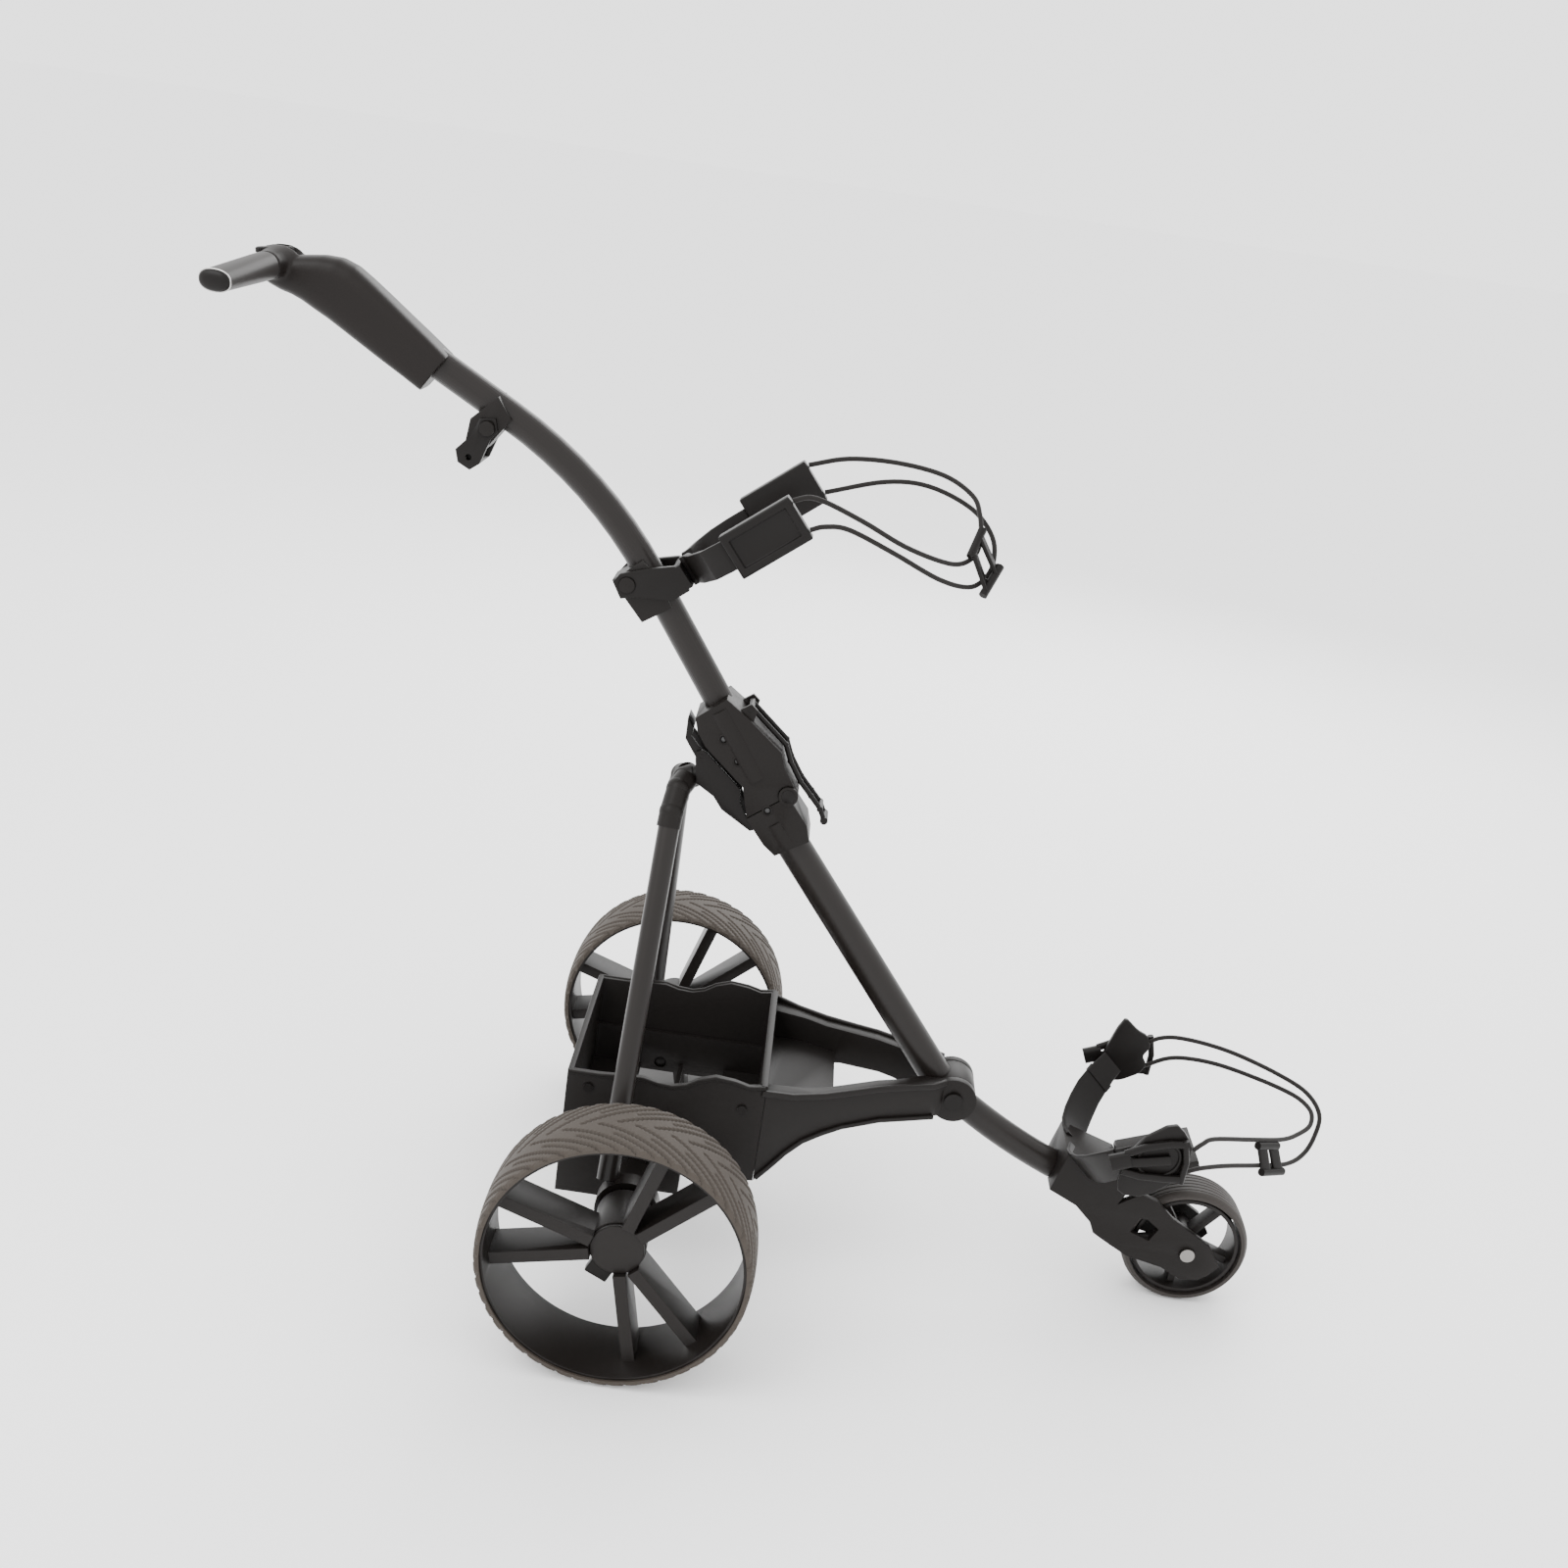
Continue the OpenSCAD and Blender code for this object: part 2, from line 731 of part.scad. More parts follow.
module cord_clip_lower() {
    color("#1a1918") at_axle() {
        rod([645, -63, 232], [672, -44, 225], 2.4);
        rod([655, -66, 203], [684, -45, 196], 2.4);
        rod([653.1, -57.3, 229.9], [663.7, -59.7, 200.9], 3);
        rod([665.3, -48.8, 226.8], [676.8, -50.3, 197.8], 3);
    }
}

base_tray();
gearbox_case();
drive_motor();
bearing_boss_r();
bearing_boss_l();
knuckle_pin();
tray_bolts();
drive_shaft_r();
rim_r();
tyre_r();
hub_cap_r();
release_tab_r();
drive_shaft_l();
rim_l();
tyre_l();
hub_cap_l();
release_tab_l();
lower_tube();
knuckle_barrel();
front_tube();
front_fork();
front_axle_pin();
hinge_lower();
fold_pivot_pin();
clip_bracket();
clip_lever();
cradle_band_r();
cradle_band_l();
cradle_pad_r();
cradle_pad_l();
bag_rest();
front_rim();
front_tyre();
stay_leg_r();
stay_leg_l();
stay_head();
shaft_tube();
hinge_upper();
fold_lever();
bag_bracket();
bag_yoke();
bag_band_r();
bag_band_l();
bag_pad_r();
bag_pad_l();
catch_collar();
fold_catch();
handle_lower_shell();
handle_upper_shell();
grip_r();
grip_l();
grip_caps();
dial_stem();
speed_dial();
cord_upper_a();
cord_upper_b();
cord_clip_upper();
cord_lower_a();
cord_lower_b();
cord_clip_lower();
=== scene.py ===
import json
import math

import bmesh
import bpy
from mathutils import Matrix, Vector


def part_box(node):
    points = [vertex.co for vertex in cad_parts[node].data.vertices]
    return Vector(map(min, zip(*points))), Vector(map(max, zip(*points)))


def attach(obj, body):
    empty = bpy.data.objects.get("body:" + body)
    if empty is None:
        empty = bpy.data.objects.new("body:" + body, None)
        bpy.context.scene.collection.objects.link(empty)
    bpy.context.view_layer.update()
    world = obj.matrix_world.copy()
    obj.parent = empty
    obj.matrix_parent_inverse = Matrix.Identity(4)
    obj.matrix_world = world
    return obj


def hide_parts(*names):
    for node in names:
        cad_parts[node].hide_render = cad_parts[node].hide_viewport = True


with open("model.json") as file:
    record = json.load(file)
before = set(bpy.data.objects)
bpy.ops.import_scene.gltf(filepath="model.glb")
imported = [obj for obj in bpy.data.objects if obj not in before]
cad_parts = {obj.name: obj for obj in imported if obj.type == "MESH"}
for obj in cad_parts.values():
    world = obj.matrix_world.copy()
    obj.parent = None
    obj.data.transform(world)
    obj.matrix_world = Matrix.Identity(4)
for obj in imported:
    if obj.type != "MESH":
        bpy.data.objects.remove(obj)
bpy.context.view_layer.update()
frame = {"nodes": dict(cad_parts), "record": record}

# ---------------------------------------------------------------- units and sizes
MM = 0.001
SIDES = ((-1, "r"), (1, "l"))  # the sign of Y and the letter in a piece's name
ACROSS = Vector((0, 1, 0))


def measured(node):
    """Middle and half size of a CAD node along X, Y and Z, in mm to the nearest tenth."""
    low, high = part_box(node)
    middle = [round(v / MM, 1) for v in (low + high) / 2]
    half = [round(v / MM, 1) for v in (high - low) / 2]
    return middle, half


REAR_MIDDLE, REAR_SIZE = measured("tyre_l")
FRONT_MIDDLE, FRONT_SIZE = measured("front_tyre")
AXLE_X = REAR_MIDDLE[0]  # the rear axle in the frame, mm; side views below count X from it
REAR_Y = REAR_MIDDLE[1]
REAR_R = REAR_SIZE[2]  # tyre radius, which is also the height of the rear axle
REAR_HALF = REAR_SIZE[1]  # half the tyre's width
FRONT_X = FRONT_MIDDLE[0] - AXLE_X
FRONT_R = FRONT_SIZE[2]
FRONT_HALF = FRONT_SIZE[1]
HINGE_HALF = measured("hinge_upper")[1][1]  # half the folding hinge's width
TRAY_Y = measured("base_tray")[1][1] + 0.2  # just outside the tray's side walls
TYRE_DEPTH = 3.6  # rubber below the tread's edge
FOLD_PIVOT = (100, 530)
CRADLE_Y = 104  # inner face of the lower support's plates
CORD_D = 5
DIAL_AT = (-453, 981)
DIAL_LEAN = 8


def at(x, y, z):
    """A point given in mm, with X counted from the rear axle, as a frame point in metres."""
    return Vector(((x + AXLE_X) * MM, y * MM, z * MM))


# ---------------------------------------------------------------- camera
# fitted to the photo; its axes and its place in metres
CAMERA_RIGHT = Vector((0.98921, 0.04392, 0.13980))
CAMERA_UP = Vector((-0.14643, 0.33318, 0.93143))
CAMERA_BACK = Vector((-0.00567, -0.94184, 0.33601))
CAMERA_PLACE = Vector((-0.01616, -1.66413, 1.12688))
CAMERA_LENS = 39.38


def make_camera():
    data = bpy.data.cameras.new("camera")
    data.lens = CAMERA_LENS
    data.sensor_width = 36
    data.dof.use_dof = False
    camera = bpy.data.objects.new("camera", data)
    bpy.context.collection.objects.link(camera)
    turn = Matrix((CAMERA_RIGHT, CAMERA_UP, CAMERA_BACK)).transposed().to_4x4()
    camera.matrix_world = Matrix.Translation(CAMERA_PLACE) @ turn
    bpy.context.scene.camera = camera


make_camera()


# ---------------------------------------------------------------- materials
def material(name, colour, rough, metal=0.0, grain=0.0, grain_scale=900.0, coat=0.0, sheen=0.0,
             shine=0.14):
    """A plain material; grain is the strength of a fine bump over it."""
    mat = bpy.data.materials.new(name)
    mat.use_nodes = True
    tree = mat.node_tree
    shader = tree.nodes["Principled BSDF"]
    shader.inputs["Base Color"].default_value = (*colour, 1)
    shader.inputs["Roughness"].default_value = rough
    shader.inputs["Metallic"].default_value = metal
    shader.inputs["Specular IOR Level"].default_value = shine
    shader.inputs["Coat Weight"].default_value = coat
    shader.inputs["Coat Roughness"].default_value = 0.25
    shader.inputs["Sheen Weight"].default_value = sheen
    if grain:
        place = tree.nodes.new("ShaderNodeTexCoord")
        noise = tree.nodes.new("ShaderNodeTexNoise")
        bump = tree.nodes.new("ShaderNodeBump")
        noise.inputs["Scale"].default_value = grain_scale
        noise.inputs["Detail"].default_value = 2
        bump.inputs["Strength"].default_value = grain
        bump.inputs["Distance"].default_value = 0.0004
        tree.links.new(place.outputs["Object"], noise.inputs["Vector"])
        tree.links.new(noise.outputs["Fac"], bump.inputs["Height"])
        tree.links.new(bump.outputs["Normal"], shader.inputs["Normal"])
    return mat


MATERIALS = {
    "body_plastic": material("body_plastic", (0.0064, 0.0052, 0.0046), 0.44, grain=0.25),
    "rim_plastic": material("rim_plastic", (0.0078, 0.0063, 0.0056), 0.40, grain=0.2, shine=0.18),
    "detail_plastic": material("detail_plastic", (0.0050, 0.0041, 0.0037), 0.40, grain=0.15),
    "handle_plastic": material("handle_plastic", (0.0076, 0.0060, 0.0054), 0.42, grain=0.3),
    "tube_paint": material("tube_paint", (0.0080, 0.0062, 0.0054), 0.34, coat=0.05, shine=0.2),
    "pin_steel": material("pin_steel", (0.22, 0.21, 0.20), 0.34, metal=1.0),
    "motor_steel": material("motor_steel", (0.05, 0.05, 0.05), 0.45, metal=0.3),
    "tyre_rubber": material("tyre_rubber", (0.036, 0.0285, 0.0225), 0.68, grain=0.35, shine=0.3),
    "front_rubber": material("front_rubber", (0.022, 0.018, 0.0155), 0.58, grain=0.25, shine=0.3),
    "grip_rubber": material("grip_rubber", (0.020, 0.018, 0.017), 0.45, grain=0.1, shine=0.2),
    "cord_cloth": material("cord_cloth", (0.010, 0.0085, 0.0078), 0.7, grain=0.8,
                           grain_scale=2500.0, sheen=0.1),
    "seam_metal": material("seam_metal", (0.45, 0.44, 0.43), 0.25, metal=1.0),
    "floor": material("floor", (0.96, 0.96, 0.962), 0.85, shine=0.2),
}
SLOT_OF = {part["node"]: part["material_slot"] for part in frame["record"]["subparts"]}
BODY_OF = {node: body for body, nodes in frame["record"]["behaviour"]["bodies"].items()
           for node in nodes}


# ---------------------------------------------------------------- making pieces
def new_object(name, mesh, slot):
    obj = bpy.data.objects.new(name, mesh)
    bpy.context.collection.objects.link(obj)
    obj.data.materials.clear()
    obj.data.materials.append(MATERIALS[slot])
    return obj


def settle(obj):
    """Applies every modifier to the mesh."""
    bpy.context.view_layer.update()
    graph = bpy.context.evaluated_depsgraph_get()
    mesh = bpy.data.meshes.new_from_object(obj.evaluated_get(graph))
    obj.modifiers.clear()
    obj.data = mesh
    return obj


def smooth(obj, angle=35):
    obj.data.shade_smooth()
    obj.data.set_sharp_from_angle(angle=math.radians(angle))


def finish_piece(obj, body, nodes=()):
    """Hides the CAD nodes that the piece stands for and hangs the piece on the body it rides on."""
    if nodes:
        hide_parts(*nodes)
    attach(obj, body)
    return obj


def from_bmesh(name, shape, slot):
    mesh = bpy.data.meshes.new(name)
    bmesh.ops.recalc_face_normals(shape, faces=shape.faces)
    shape.to_mesh(mesh)
    shape.free()
    return new_object(name, mesh, slot)


def bevel(obj, width, segments=2, angle=32):
    modifier = obj.modifiers.new("bevel", "BEVEL")
    modifier.width = width * MM
    modifier.segments = segments
    modifier.limit_method = "ANGLE"
    modifier.angle_limit = math.radians(angle)
    modifier.harden_normals = False
    return obj


def soften(node, width, segments=2):
    """A copy of a CAD node with rounded edges, which stands for it."""
    source = frame["nodes"][node]
    shape = bmesh.new()
    shape.from_mesh(source.data)
    bmesh.ops.remove_doubles(shape, verts=shape.verts, dist=1e-6)
    bmesh.ops.dissolve_limit(shape, angle_limit=math.radians(0.8), verts=shape.verts,
                             edges=shape.edges)
    obj = from_bmesh(node + "_soft", shape, SLOT_OF[node])
    bevel(obj, width, segments)
    settle(obj)
    smooth(obj, 38)
    return finish_piece(obj, BODY_OF[node], [node])


# ---------------------------------------------------------------- cords
# routes repeat those of the CAD part: mm, X from the rear axle
CORD_ROUTES = {
    "cord_upper_a": [(62.3, -66, 836.2), (84, -65, 841), (129, -56, 825), (174, -42, 804),
                     (214, -24, 791), (234, -12, 790), (246, -4, 800), (248, 4, 816),
                     (245, 18, 834), (236, 34, 849), (206, 50, 862), (158, 60, 866),
                     (110, 65, 862), (71.4, 66, 850)],
    "cord_upper_b": [(82.3, -66, 811.1), (96, -65, 816), (119, -58, 815), (164, -46, 797),
                     (212, -30, 775), (243, -14, 768), (258, -4, 776), (265, 4, 792),
                     (261, 22, 814), (238, 40, 835), (194, 56, 848), (150, 63, 845),
                     (91.6, 66, 825.2)],
    "cord_lower_a": [(566.2, -108, 241.4), (576, -101, 246), (590, -91, 248), (640, -62, 238),
                     (680, -34, 228), (702, -16, 228), (716, -2, 232), (719, 12, 240),
                     (712, 28, 244), (698, 44, 245), (671, 66, 244), (632, 86, 244),
                     (599, 97, 241), (576, 105, 233), (552.6, 109, 217)],
    "cord_lower_b": [(564.3, -108, 215), (582, -101, 218), (612, -84, 215), (650, -62, 208),
                     (688, -38, 201), (710, -20, 205), (723, -4, 219), (729, 14, 238),
                     (717, 36, 251), (690, 58, 257), (648, 79, 263), (615, 93, 264),
                     (583, 103, 262), (564, 108, 256), (551.6, 110, 247)],
}


def spline_points(points, steps=6):
    """A smooth line through the points."""
    padded = [points[0] * 2 - points[1]] + points + [points[-1] * 2 - points[-2]]
    line = []
    for a, b, c, d in zip(padded, padded[1:], padded[2:], padded[3:]):
        for i in range(steps):
            t = i / steps
            line.append(0.5 * (2 * b + (c - a) * t + (2 * a - 5 * b + 4 * c - d) * t * t
                               + (3 * b - a - 3 * c + d) * t ** 3))
    line.append(points[-1])
    return line


def make_cord(node):
    line = spline_points([at(*p) for p in CORD_ROUTES[node]])
    curve = bpy.data.curves.new(node + "_cord", "CURVE")
    curve.dimensions = "3D"
    curve.bevel_depth = CORD_D / 2 * MM
    curve.bevel_resolution = 4
    curve.use_fill_caps = True
    spline = curve.splines.new("POLY")
    spline.points.add(len(line) - 1)
    for target, p in zip(spline.points, line):
        target.co = (*p, 1)
    obj = new_object(node + "_cord", curve, "cord_cloth")
    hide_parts(node)
    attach(obj, BODY_OF[node])
    length = sum((b - a).length for a, b in zip(line, line[1:]))
    return obj, line, length


def make_cords():
    for pair, clip in (("upper", "cord_clip_upper"), ("lower", "cord_clip_lower")):
        for strand in "ab":
            obj, line, length = make_cord(f"cord_{pair}_{strand}")


make_cords()


# ---------------------------------------------------------------- lofted and turned shapes
def loft(name, rings, slot, closed=False):
    """A skin over rings of equal point counts, with flat ends unless it closes on itself."""
    shape = bmesh.new()
    rows = [[shape.verts.new(p) for p in ring] for ring in rings]
    count = len(rows[0])
    pairs = list(zip(rows, rows[1:])) + ([(rows[-1], rows[0])] if closed else [])
    for a, b in pairs:
        for i in range(count):
            j = (i + 1) % count
            shape.faces.new((a[i], a[j], b[j], b[i]))
    if not closed:
        shape.faces.new(rows[0][::-1])
        shape.faces.new(rows[-1])
    return from_bmesh(name, shape, slot)


def oval(centre, side, up, half_side, half_up, power=2.0, count=40):
    """Points of a rounded rectangle; power 2 is an ellipse and more is squarer."""
    ring = []
    for i in range(count):
        a = 2 * math.pi * i / count
        c, s = math.cos(a), math.sin(a)
        ring.append(centre + side * (half_side * MM * math.copysign(abs(c) ** (2 / power), c))
                    + up * (half_up * MM * math.copysign(abs(s) ** (2 / power), s)))
    return ring


def skin(name, rings, angle, slot, body, nodes=(), closed=False, look=None):
    """A loft made into a finished piece; look is its material where that isn't its slot's."""
    obj = loft(name, rings, look or slot, closed)
    smooth(obj, angle)
    return finish_piece(obj, body, nodes)


def circle(x, z, radius, y, count=32):
    """Points of a circle about a Y axis."""
    turns = [2 * math.pi * i / count for i in range(count)]
    return [at(x + radius * math.cos(a), y, z + radius * math.sin(a)) for a in turns]


# ---------------------------------------------------------------- tyres
def tyre_rings(centre, half_width, section, groove, around, across):
    """Sections of a tyre: section(v) is the radius in mm at v from -1 to 1 across the tread,
    groove(turn, v) the depth taken off it, turn being 0 to 1 round the wheel."""
    rings = []
    inner = section(1) - TYRE_DEPTH
    for i in range(around):
        turn = i / around
        a = 2 * math.pi * turn
        out = Vector((math.cos(a), 0, math.sin(a)))
        ring = []
        for j in range(across + 1):
            v = 2 * j / across - 1
            r = section(v) - groove(turn, v)
            ring.append(centre + out * (r * MM) + ACROSS * (v * half_width * MM))
        for v in (0.985, 0.5, -0.5, -0.985):
            ring.append(centre + out * (inner * MM) + ACROSS * (v * half_width * MM))
        rings.append(ring)
    return rings


def notch(distance, half_width, depth):
    """Depth of a round-edged groove at a distance from its middle."""
    t = max(0.0, 1 - abs(distance) / half_width)
    return depth * min(1.0, 1.9 * t) ** 1.3


TREAD_PITCHES = 24
TREAD_SWEEP = 2.3  # pitches that a groove runs round the wheel from the middle to the edge


def rear_section(v):
    """Radius of a rear tyre at v across the tread, in mm."""
    return REAR_R - 3.0 * abs(v) ** 2.4 - (1.6 if abs(v) > 0.97 else 0)


def rear_groove(turn, v):
    """Overlapping V grooves: long ones from the middle to the edge, and short ones between."""
    phase = turn * TREAD_PITCHES + TREAD_SWEEP * abs(v) ** 0.92 + (0.5 if v > 0 else 0)
    near = (phase + 0.5) % 1 - 0.5
    halfway = phase % 1 - 0.5
    depth = notch(near, 0.11, 3.0) if abs(v) > 0.03 else 0
    if abs(v) > 0.42:
        depth = max(depth, notch(halfway, 0.09, 2.4))
    return depth


def make_rear_tyres():
    for side, tag in SIDES:
        rings = tyre_rings(at(0, side * REAR_Y, REAR_R), REAR_HALF, rear_section, rear_groove,
                           900, 40)
        skin(f"tyre_{tag}_tread", rings, 40, "tyre_rubber", "wheel_" + tag, ["tyre_" + tag],
             closed=True)


def front_section(v):
    """Radius of the front tyre at v across the tread, in mm."""
    return FRONT_R - 0.9 * abs(v) ** 2 - 3.6 * max(0, (abs(v) - 0.72) / 0.28) ** 1.6


def front_groove(turn, v):
    """Fine lines that run round the wheel, the same at every turn."""
    return sum(notch(v * FRONT_HALF - line, 0.9, 0.8) for line in (-15, -9, -3, 3, 9, 15))


def make_front_tyre():
    rings = tyre_rings(at(FRONT_X, 0, FRONT_R), FRONT_HALF, front_section, front_groove, 180, 96)
    skin("front_tyre_tread", rings, 40, "front_rubber", "front_wheel", ["front_tyre"], closed=True)


make_rear_tyres()
make_front_tyre()


# ---------------------------------------------------------------- handle
def joined(name, pieces, slot, voxel, passes):
    """One skin over several overlapping pieces, with their meeting lines rounded."""
    shape = bmesh.new()
    for piece in pieces:
        shape.from_mesh(piece.data)
        bpy.data.objects.remove(piece)
    obj = from_bmesh(name, shape, slot)
    remesh = obj.modifiers.new("remesh", "REMESH")
    remesh.mode = "VOXEL"
    remesh.voxel_size = voxel * MM
    relax = obj.modifiers.new("relax", "SMOOTH")
    relax.factor = 0.5
    relax.iterations = passes
    settle(obj)
    obj.data.materials.clear()
    obj.data.materials.append(MATERIALS[slot])
    smooth(obj, 60)
    return obj


def handle_section(top, bottom, half_width, power):
    """A neck section between a top and a bottom point, both X and Z in mm."""
    high, low = at(top[0], 0, top[1]), at(bottom[0], 0, bottom[1])
    up = (high - low).normalized()
    return oval((high + low) / 2, ACROSS, up, half_width, (high - low).length / MM / 2, power, 48)


# top and bottom point of each section of the neck, its half width and its squareness
NECK = [((-281, 913), (-305, 878), 22.5, 5), ((-300, 928), (-324, 889), 22.5, 4.5),
        ((-322, 944.5), (-345, 900.5), 22.4, 4), ((-343, 960.5), (-366, 912.5), 22.3, 3.6),
        ((-360, 973), (-384, 923), 22.2, 3.4), ((-374, 982.5), (-399, 931.5), 22, 3.2),
        ((-389, 988), (-412, 938), 21.8, 3.1), ((-405, 988.5), (-424, 944.5), 21.5, 3),
        ((-420, 986.5), (-434, 948.5), 21, 3), ((-436, 984), (-444, 951), 20, 2.9),
        ((-450, 981), (-453, 954.5), 18.5, 2.8), ((-461, 977.5), (-461, 958.5), 16, 2.6),
        ((-467, 973.5), (-467, 963), 12, 2.4)]
# the right grip's axis; the left one mirrors it
GRIP_START = at(-450.8, -31.2, 973.7)
GRIP_END = at(-465, -124, 963.5)
GRIP_LONG = (GRIP_END - GRIP_START).length / MM
# along the grip, half width and half height; the root runs back into the neck
ROOT = [(0, 13.2, 12.9), (-6, 13.6, 13.0), (-12, 15, 13.8), (-19, 18, 15), (-27, 22, 16)]
SLEEVE = [(1.2, 12.2, 11.8), (1.9, 13.1, 12.7), (20, 13.6, 12.4), (45, 14.2, 11.6),
          (75, 14.9, 10.6), (GRIP_LONG, 15.2, 10.0)]
END_RIM = [(GRIP_LONG, 15.2, 10.0), (GRIP_LONG + 0.4, 15.6, 10.4), (GRIP_LONG + 1.0, 15.6, 10.4),
           (GRIP_LONG + 1.4, 15.1, 9.9)]
END_CAP = [(GRIP_LONG + 1.3, 14.8, 9.7), (GRIP_LONG + 3, 14.2, 9.1), (GRIP_LONG + 4.6, 12.2, 7.4),
           (GRIP_LONG + 5.6, 8, 4.4), (GRIP_LONG + 6, 2, 1)]


def grip_rings(side, rows, power=2.3, count=48):
    """Sections about the axis of the grip on one side."""
    flip = Vector((1, -side, 1))
    axis = (GRIP_END - GRIP_START).normalized() * flip
    across = axis.cross(Vector((0, 0, 1))).normalized()
    up = across.cross(axis).normalized()
    return [oval(GRIP_START * flip + axis * (k * MM), across, up, half_side, half_up, power, count)
            for k, half_side, half_up in rows]


def make_handle():
    pieces = [loft("neck", [handle_section(*row) for row in NECK], "handle_plastic")]
    for side, tag in SIDES:
        pieces.append(loft("root", grip_rings(side, ROOT, 2.2, 40), "handle_plastic"))
    body = joined("handle_shell", pieces, "handle_plastic", 1.5, 5)
    finish_piece(body, "upper_shaft",
                 ["handle_upper_shell", "handle_lower_shell"])
    for side, tag in SIDES:
        skin(f"grip_{tag}_sleeve", grip_rings(side, SLEEVE), 40, "grip_rubber", "upper_shaft",
             ["grip_" + tag])
        skin(f"grip_{tag}_rim", grip_rings(side, END_RIM), 60, "pin_steel", "upper_shaft",
             look="seam_metal")
        skin(f"grip_{tag}_cap", grip_rings(side, END_CAP), 60, "detail_plastic", "upper_shaft",
             ["grip_caps"] if tag == "r" else [])


make_handle()


# height above DIAL_AT, radius, and how far the notches stand in and out
DIAL_ROWS = [(2.9, 16.4, 0), (3.3, 17.2, 0.5), (7.0, 17.2, 0.5), (8.0, 16.4, 0.2),
             (8.4, 15.4, 0), (8.1, 13.2, 0), (7.8, 9, 0), (7.8, 1, 0)]
DIAL_POINTS = 144


def make_dial():
    """Push dial with a finely notched edge and a dished top."""
    lean = math.radians(DIAL_LEAN)
    up = Vector((-math.sin(lean), 0, math.cos(lean)))
    side = Vector((math.cos(lean), 0, math.sin(lean)))
    origin = at(DIAL_AT[0], 0, DIAL_AT[1])
    rings = []
    for height, radius, ridge in DIAL_ROWS:
        ring = []
        for i in range(DIAL_POINTS):
            a = 2 * math.pi * i / DIAL_POINTS
            r = radius + (ridge if i % 4 < 2 else -ridge)
            ring.append(origin + up * (height * MM) + side * (r * MM * math.cos(a))
                        + ACROSS * (r * MM * math.sin(a)))
        rings.append(ring)
    skin("dial_knob", rings, 30, "detail_plastic", "dial", ["speed_dial"])


make_dial()


# ---------------------------------------------------------------- bars, discs and plates
def strip(name, points, half_side, half_up, slot, body, nodes=(), up=(0, 0, 1), power=4, count=20):
    """A bar of rounded section through points in mm; up is the section's up direction."""
    line = [at(*p) for p in points]
    rings = []
    for i, point in enumerate(line):
        before, after = line[max(i - 1, 0)], line[min(i + 1, len(line) - 1)]
        along = (after - before).normalized()
        side = along.cross(Vector(up)).normalized()
        rings.append(oval(point, side, side.cross(along).normalized(), half_side, half_up, power,
                          count))
    return skin(name, rings, 50, slot, body, nodes)


def disc(name, centre, radius, y0, y1, slot, body, edge):
    """A turned disc on a Y axis with rounded ends."""
    step = math.copysign(edge, y1 - y0)
    rows = ((y0, radius - edge), (y0 + step, radius), (y1 - step, radius), (y1, radius - edge))
    return skin(name, [circle(*centre, r, y) for y, r in rows], 50, slot, body)


def slab(name, outline, y0, y1, edge, slot, body, nodes=()):
    """A plate across Y with rounded edges; the outline is X and Z in mm."""
    shape = bmesh.new()
    near = [shape.verts.new(at(x, y0, z)) for x, z in outline]
    far = [shape.verts.new(at(x, y1, z)) for x, z in outline]
    shape.faces.new(near)
    shape.faces.new(far[::-1])
    for i in range(len(near)):
        j = (i + 1) % len(near)
        shape.faces.new((near[i], far[i], far[j], near[j]))
    obj = settle(bevel(from_bmesh(name, shape, slot), edge, 3, 20))
    smooth(obj, 40)
    return finish_piece(obj, body, nodes)


def corner_cut(outline, share=0.22):
    """The outline with each corner replaced by two points, which rounds it."""
    cut = []
    for i, b in enumerate(outline):
        a, c = outline[i - 1], outline[(i + 1) % len(outline)]
        cut.append((b[0] + (a[0] - b[0]) * share, b[1] + (a[1] - b[1]) * share))
        cut.append((b[0] + (c[0] - b[0]) * share, b[1] + (c[1] - b[1]) * share))
    return cut


# ---------------------------------------------------------------- tray
# the left side's lips; the right ones mirror them
ARM_TOP = [(118, 111.5, 236), (150, 101, 230.5), (183, 88, 229.5), (215, 74.5, 231.5),
           (240, 64, 233.5), (270, 51, 233.2), (300, 39, 232.8), (313, 29.5, 234)]
ARM_LOW = [(124, 111.5, 135), (137, 106.5, 148), (151, 100.5, 163), (167, 94, 176),
           (186, 87, 184.5), (206, 78, 190.3), (246, 61.5, 195.5), (275, 49.5, 195),
           (305, 36.5, 194.5)]
RIM_TOP = [(x, TRAY_Y, z) for x, z in (
    (-82, 229), (-50, 229), (-28, 231), (-5, 232), (10, 228.5), (26, 227.3), (40, 231.2),
    (52, 239), (69, 244.8), (89, 243), (104, 239.2), (121, 241.5))]


def make_tray_lips():
    for name, route, wide, high in (("arm_lip", ARM_TOP, 2.6, 3.2), ("arm_foot", ARM_LOW, 2.2, 2.4),
                                    ("rim_lip", RIM_TOP, 1.9, 2.0)):
        for side, tag in SIDES[::-1]:
            strip(f"{name}_{tag}", [(x, side * y, z) for x, y, z in route], wide, high,
                  "body_plastic", "chassis")
    for name, x, z, rise, wide in (("front_lip", 120, 241.5, 0.7, 3.4),
                                   ("rear_lip", -80, 229, 0.6, 3.2)):
        strip(name, [(x, -110, z), (x, 0, z + rise), (x, 110, z)], wide, 2, "body_plastic",
              "chassis")


# ---------------------------------------------------------------- folding hinge
SCREWS = {"upper_shaft": ((27, 580), (44, 559)), "main_frame": ((81, 511), (97, 493))}
# the raised ring round a screw: radius and distance from the hinge's middle
SCREW_RIM = ((4.0, 25.9), (4.0, 26.5), (4.6, 26.7), (5.4, 26.4), (5.6, 25.9))


